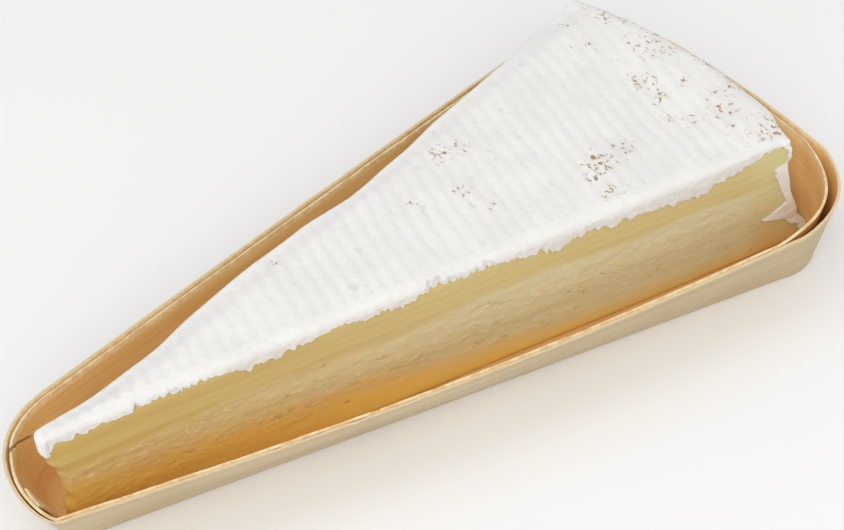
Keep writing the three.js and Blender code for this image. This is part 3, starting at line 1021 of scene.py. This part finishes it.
def wall_columns(rim):
    """The places of a wall's columns, with the length along the rim of each."""
    places = posts_along(rim, WALL_STEP)
    lengths = [0.0]
    points = [curve_point(rim, post, share) for post, share in places]
    for a, b in zip(points, points[1:] + points[:1]):
        lengths.append(lengths[-1] + (b - a).length)
    return places, lengths


def write_uv(piece, flat):
    """Unrolls a piece by a function of its vertex index."""
    if not piece.data.uv_layers:
        piece.data.uv_layers.new(name="veneer")
    layer = piece.data.uv_layers[0]
    for loop in piece.data.loops:
        layer.data[loop.index].uv = flat(loop.vertex_index)


def make_band():
    """The outer band: a strip of veneer bent round the sheet, worn along its rim."""
    low, top = (corner.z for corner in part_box("outer_band"))
    rim_out, rim_in = flat_loops("outer_band", 1, top)[:2]
    base_out, base_in = flat_loops("outer_band", -1, low)[:2]
    loops = [base_out, *(lined_up(loop, base_out) for loop in (rim_out, rim_in, base_in))]
    places, lengths = wall_columns(loops[1])
    section = [(0, 1, s) for s in shares(WALL_ROWS)[:-1]]
    section += [(1, 2, s) for s in shares(RIM_ROWS)[:-1]]
    section += [(2, 3, s) for s in shares(WALL_ROWS)[:-1]]
    section += [(3, 0, s) for s in shares(1)]
    count = len(places)

    def place(column, row):
        post, share = places[column % count]
        first, second, up = section[row]
        a = curve_point(loops[first], post, share)
        b = curve_point(loops[second], post, share)
        point = a.lerp(b, up)
        height = (point.z - low) / (top - low)
        along = lengths[column % count]
        drop = rim_wear(along, 81) * tray().chip_depth
        point.z -= drop * smooth(0.85, 1.0, height)
        out = Vector((point.x, point.y, 0)).normalized()
        flutter = 0.12 * ripple(along, point.z * 0.6, 11 * MM, 84)
        flutter += 0.05 * ripple(along, point.z, 3 * MM, 85)
        point += out * flutter * MM * smooth(0.0, 0.4, height)
        return point

    piece = grid_piece("band_veneer", count, len(section) - 1, place)
    stride = count + 1
    at_rim = [first == 1 or (first == 2 and up == 0) for first, second, up in section]
    inside = [first == 2 for first, second, up in section]
    for name, rows in (("rim", at_rim), ("inner_face", inside)):
        paint(piece, name, [float(row) for row in rows for column in range(stride)])

    def flat(index):
        first, second, up = section[index // stride]
        return lengths[index % stride], (first + up) * WALL_UNROLLED

    write_uv(piece, flat)
    in_edit_mode(piece, weld)
    wood = tray().outside_wood
    finish = veneer_finish("outside_veneer", wood, (0.67, 0.56, 0.39), (0.48, 0.36, 0.21))
    finish_piece(piece, "outer_band", finish, 50)


# The sheet's rows from its foot to the floor's spine.
FLOOR_ROWS = 14

# How far up the sheet's unrolled wall starts, clear of its floor.
UNROLLED_WALL = 0.2

# The floor's spine stops short of the tip's end and of the wide end by these.
SPINE_FROM_TIP = 9 * MM
SPINE_FROM_END = 14 * MM

# How far the inner foot stands in from the outer, and how far the veneers keep apart.
FOOT_IN = 0.75 * MM
VENEER_GAP = 0.35 * MM


def away_from(loop, point):
    """How far a point is from a closed loop, on the plan."""
    nearest = 1.0
    spot = Vector(point[:2])
    for a, b in zip(loop, loop[1:] + loop[:1]):
        start, run = Vector(a[:2]), Vector(b[:2]) - Vector(a[:2])
        share = (spot - start).dot(run) / max(run.length_squared, 1e-12)
        nearest = min(nearest, (start + run * min(1.0, max(0.0, share)) - spot).length)
    return nearest


def make_sheet():
    """The folded sheet: floor and inner walls, open at one corner and cracked at the tip."""
    low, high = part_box("folded_sheet")
    base_out = flat_loops("folded_sheet", -1, low.z)[0]
    rim = lined_up(flat_loops("folded_sheet", 1, high.z)[1], base_out)
    ply = tray().ply
    places, lengths = wall_columns(rim)
    tops = [curve_point(rim, *where) for where in places]
    count = len(places)
    corner = max(rim, key=lambda p: p.x - 1.6 * p.y)
    tip = cuts()[0]
    crack_top = tip + CRACK_ASIDE
    crack_top.z = high.z
    crack_column = min(range(count), key=lambda k: (tops[k] - crack_top).length)
    crack_reach = lengths[crack_column]
    band_rim = flat_loops("outer_band", 1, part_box("outer_band")[1].z)[1]
    gaps = [away_from(band_rim, top) for top in tops]
    rows = [("wall", s ** 1.4) for s in shares(WALL_ROWS, 1, 0)]
    rows += [("floor", s) for s in shares(FLOOR_ROWS)[1:]]
    floor_top = low.z + ply

    def place(column, row):
        post, share = places[column % count]
        kind, amount = rows[row]
        base = curve_point(base_out, post, share)
        middle = min(max(base.x, low.x + SPINE_FROM_TIP), high.x - SPINE_FROM_END)
        spine = Vector((middle, tip.y, floor_top))
        foot = base + (spine - base).normalized() * FOOT_IN
        foot.z = floor_top
        foot_in = Vector((spine.x - foot.x, spine.y - foot.y, 0))
        fillet = (0.4 + 3.0 * (1 - smooth(12 * MM, 30 * MM, foot.x - low.x))) * MM
        fillet = min(fillet, 0.4 * foot_in.length)
        foot_in.normalize()
        if kind == "floor":
            return (foot + foot_in * fillet).lerp(spine, amount)
        top = tops[column % count]
        point = foot.lerp(top, amount)
        rise = min(1.0, (point.z - floor_top) / fillet)
        point += foot_in * fillet * (1 - math.sqrt(1 - (1 - rise) ** 2))
        along = lengths[column % count]
        in_way = Vector((spine.x - point.x, spine.y - point.y, 0)).normalized()
        open_corner = bump(0, 40 * MM, (top - corner).length)
        point -= in_way * 1.3 * MM * bump(0, 22 * MM, (top - corner).length) * amount
        slack = max(0.0, gaps[column % count] - ply - VENEER_GAP)
        point -= in_way * 0.95 * slack * (1 - min(1.0, 2 * open_corner)) * amount
        drop = rim_wear(along, 91) * tray().chip_depth
        point.z -= drop * smooth(0.85, 1.0, amount)
        flutter = 0.10 * ripple(along, point.z * 0.6, 12 * MM, 94)
        point += in_way * (0.12 + flutter) * MM * smooth(0.0, 0.4, amount)
        fallen = high.z - point.z
        step = along - crack_reach + CRACK_SLANT * fallen
        split = smooth(-0.4 * MM, 0.4 * MM, step) * (1 - smooth(2 * MM, 12 * MM, step))
        point += in_way * 0.3 * MM * split * (1 - smooth(0.7 * CRACK_DROP, CRACK_DROP, fallen))
        return point

    piece = grid_piece("sheet_veneer", count, len(rows) - 1, place)
    stride = count + 1
    paint(piece, "rim", [float(index < stride) for index in range(stride * len(rows))])
    corners = [v.co.copy() for v in piece.data.vertices]

    def flat(index):
        kind, amount = rows[index // stride]
        if kind == "floor":
            return corners[index].x, corners[index].y
        return lengths[index % stride], amount * WALL_UNROLLED + UNROLLED_WALL

    write_uv(piece, flat)
    in_edit_mode(piece, weld, face_up)
    apply_modifier(piece, "SOLIDIFY", thickness=ply, offset=-1.0)
    wood = tray().inside_wood
    crack_at = (crack_reach, WALL_UNROLLED + UNROLLED_WALL)
    finish = veneer_finish("inside_veneer", wood, (0.90, 0.62, 0.29), (0.72, 0.38, 0.12), crack_at)
    finish_piece(piece, "folded_sheet", finish, 50)


def face_up():
    """Turns the sheet's faces towards the inside of the tray."""
    bpy.ops.mesh.normals_make_consistent(inside=False)
    mesh = bmesh.from_edit_mesh(bpy.context.edit_object.data)
    flattest = max(mesh.faces, key=lambda f: abs(f.normal.z))
    if flattest.normal.z < 0:
        bpy.ops.mesh.flip_normals()


# How finely the tucked strip is divided, and how far one end of it stands up, in millimetres.
STRIP_CUTS = 5
STRIP_RAISED = 2.4


def make_strip():
    """The pale strip tucked inside the tip, a copy of its CAD solid with a rough edge."""
    mesh = bpy.data.objects["tucked_strip"].data.copy()
    piece = bpy.data.objects.new("strip_veneer", mesh)
    bpy.context.collection.objects.link(piece)
    mesh.name = "strip_veneer"
    in_edit_mode(piece, weld, lambda: bpy.ops.mesh.subdivide(number_cuts=STRIP_CUTS))
    high = max(v.co.z for v in mesh.vertices)
    start = min(v.co.y for v in mesh.vertices)
    end = max(v.co.y for v in mesh.vertices)
    for vertex in mesh.vertices:
        worn = 0.8 * max(0.0, 0.4 + ripple(vertex.co.x, vertex.co.y, 1.6 * MM, 97))
        raised = STRIP_RAISED * smooth(start + 0.35 * (end - start), end, vertex.co.y)
        vertex.co.z += (raised - worn) * MM * smooth(high - 4 * MM, high, vertex.co.z)
    paint(piece, "rim", [0.0] * len(mesh.vertices))
    spots = [v.co.copy() for v in mesh.vertices]
    write_uv(piece, lambda index: (spots[index].x - spots[index].y, spots[index].z))
    finish = veneer_finish("strip_veneer", (0.80, 0.64, 0.38), (0.88, 0.75, 0.52), (0.68, 0.48, 0.24))
    finish_piece(piece, "tucked_strip", finish, 35)


# ---------------------------------------------------------------- stage

# The floor, in metres, and the camera's sensor, in millimetres.
FLOOR_SIZE = 12
FLOOR_DROP = 0.02 * MM
SENSOR_WIDTH = 36
NEAR_CLIP = 10 * MM

# What the camera and the lamps look at.
CAMERA_TARGET = Vector((5.853, 6.971, 15)) * MM
LIGHT_TARGET = Vector((0, 0, 20)) * MM

# The lamps: name, place, size and power.
SOFTBOXES = (
    ("top_softbox", Vector((-0.1, 0.3, 1.1)), 0.8, 1.6),
    ("front_softbox", Vector((-0.50, -0.72, 0.72)), 1.0, 6.5))


def soft_light(name, place, size, power):
    """A large square lamp that looks at the tray."""
    bpy.ops.object.light_add(type="AREA", location=place)
    lamp = bpy.context.object
    lamp.name = name
    lamp.data.shape = "SQUARE"
    lamp.data.size = size
    lamp.data.energy = power
    lamp.rotation_euler = (LIGHT_TARGET - place).to_track_quat("-Z", "Y").to_euler()


def make_stage():
    """The pale floor, the camera, the even light from all round and the two soft lamps."""
    settings = stage()
    bpy.ops.object.select_all(action="DESELECT")
    bpy.ops.mesh.primitive_plane_add(size=FLOOR_SIZE, location=(0, 0, -FLOOR_DROP))
    floor = bpy.context.object
    floor.name = "pale_floor"
    bench = Bench("pale_floor")
    grey = settings.floor_grey
    floor.data.materials.append(bench.shade(Base_Color=(grey, grey, grey, 1), Roughness=0.9))

    azimuth, elevation = settings.camera_azimuth, settings.camera_elevation
    back = Vector((math.sin(azimuth) * math.cos(elevation),
                   -math.cos(azimuth) * math.cos(elevation), math.sin(elevation)))
    bpy.ops.object.camera_add(location=CAMERA_TARGET + back * settings.camera_distance)
    camera = bpy.context.object
    camera.data.sensor_width = SENSOR_WIDTH
    camera.data.lens = settings.camera_lens
    camera.data.clip_start = NEAR_CLIP
    aim = (-back).to_track_quat("-Z", "Y").to_matrix().to_4x4()
    camera.matrix_world = (Matrix.Translation(camera.location) @ aim
                           @ Matrix.Rotation(settings.camera_roll, 4, "Z"))
    bpy.context.scene.camera = camera

    world = bpy.data.worlds.new("even_sky")
    world.use_nodes = True
    sky = world.node_tree.nodes["Background"]
    sky.inputs["Color"].default_value = (1, 1, 1, 1)
    sky.inputs["Strength"].default_value = settings.sky
    bpy.context.scene.world = world
    for softbox in SOFTBOXES:
        soft_light(*softbox)
    bpy.context.scene.view_settings.view_transform = "Standard"


# ---------------------------------------------------------------- operators and panel


class CHEESE_OT_paste(bpy.types.Operator):
    """Model the cheese's cut paste"""

    bl_idname = "cheese.paste"
    bl_label = "Cut Paste"

    def execute(self, context):
        make_paste()
        return {"FINISHED"}


class CHEESE_OT_rind(bpy.types.Operator):
    """Lay the white rind over the paste, torn along its cuts"""

    bl_idname = "cheese.rind"
    bl_label = "Lay Rind"

    def execute(self, context):
        make_rind()
        return {"FINISHED"}


class CHEESE_OT_band(bpy.types.Operator):
    """Bend the outer veneer band"""

    bl_idname = "cheese.band"
    bl_label = "Bend Outer Band"

    def execute(self, context):
        make_band()
        return {"FINISHED"}


class CHEESE_OT_sheet(bpy.types.Operator):
    """Fold the veneer sheet that is the tray's floor and inner walls"""

    bl_idname = "cheese.sheet"
    bl_label = "Fold Sheet"

    def execute(self, context):
        make_sheet()
        return {"FINISHED"}


class CHEESE_OT_strip(bpy.types.Operator):
    """Tuck the short strip inside the tip"""

    bl_idname = "cheese.strip"
    bl_label = "Tuck Strip"

    def execute(self, context):
        make_strip()
        return {"FINISHED"}


class CHEESE_OT_stage(bpy.types.Operator):
    """Set the floor, the camera and the lights"""

    bl_idname = "cheese.stage"
    bl_label = "Set Stage"

    def execute(self, context):
        make_stage()
        return {"FINISHED"}


OPERATORS = (CHEESE_OT_paste, CHEESE_OT_rind, CHEESE_OT_band, CHEESE_OT_sheet,
             CHEESE_OT_strip, CHEESE_OT_stage)


class CHEESE_PT_panel(bpy.types.Panel):
    """Lists the steps and the sizes they use"""

    bl_idname = "CHEESE_PT_panel"
    bl_label = "Cheese and Tray"
    bl_space_type = "VIEW_3D"
    bl_region_type = "UI"
    bl_category = "Cheese"

    def draw(self, context):
        for operator in OPERATORS:
            self.layout.operator(operator.bl_idname)
        for settings in (cheese(), tray(), stage()):
            box = self.layout.box()
            for name in settings.__annotations__:
                box.prop(settings, name)


GROUPS = (CheeseSettings, TraySettings, StageSettings)


def register():
    for group in (*GROUPS, *OPERATORS, CHEESE_PT_panel):
        bpy.utils.register_class(group)
    bpy.types.Scene.cheese_settings = bpy.props.PointerProperty(type=CheeseSettings)
    bpy.types.Scene.tray_settings = bpy.props.PointerProperty(type=TraySettings)
    bpy.types.Scene.stage_settings = bpy.props.PointerProperty(type=StageSettings)


def unregister():
    del bpy.types.Scene.stage_settings
    del bpy.types.Scene.tray_settings
    del bpy.types.Scene.cheese_settings
    for group in (CHEESE_PT_panel, *reversed(OPERATORS), *reversed(GROUPS)):
        bpy.utils.unregister_class(group)


def main():
    register()
    bpy.ops.cheese.paste()
    bpy.ops.cheese.rind()
    bpy.ops.cheese.band()
    bpy.ops.cheese.sheet()
    bpy.ops.cheese.strip()
    bpy.ops.cheese.stage()


if __name__ == "__main__":
    main()
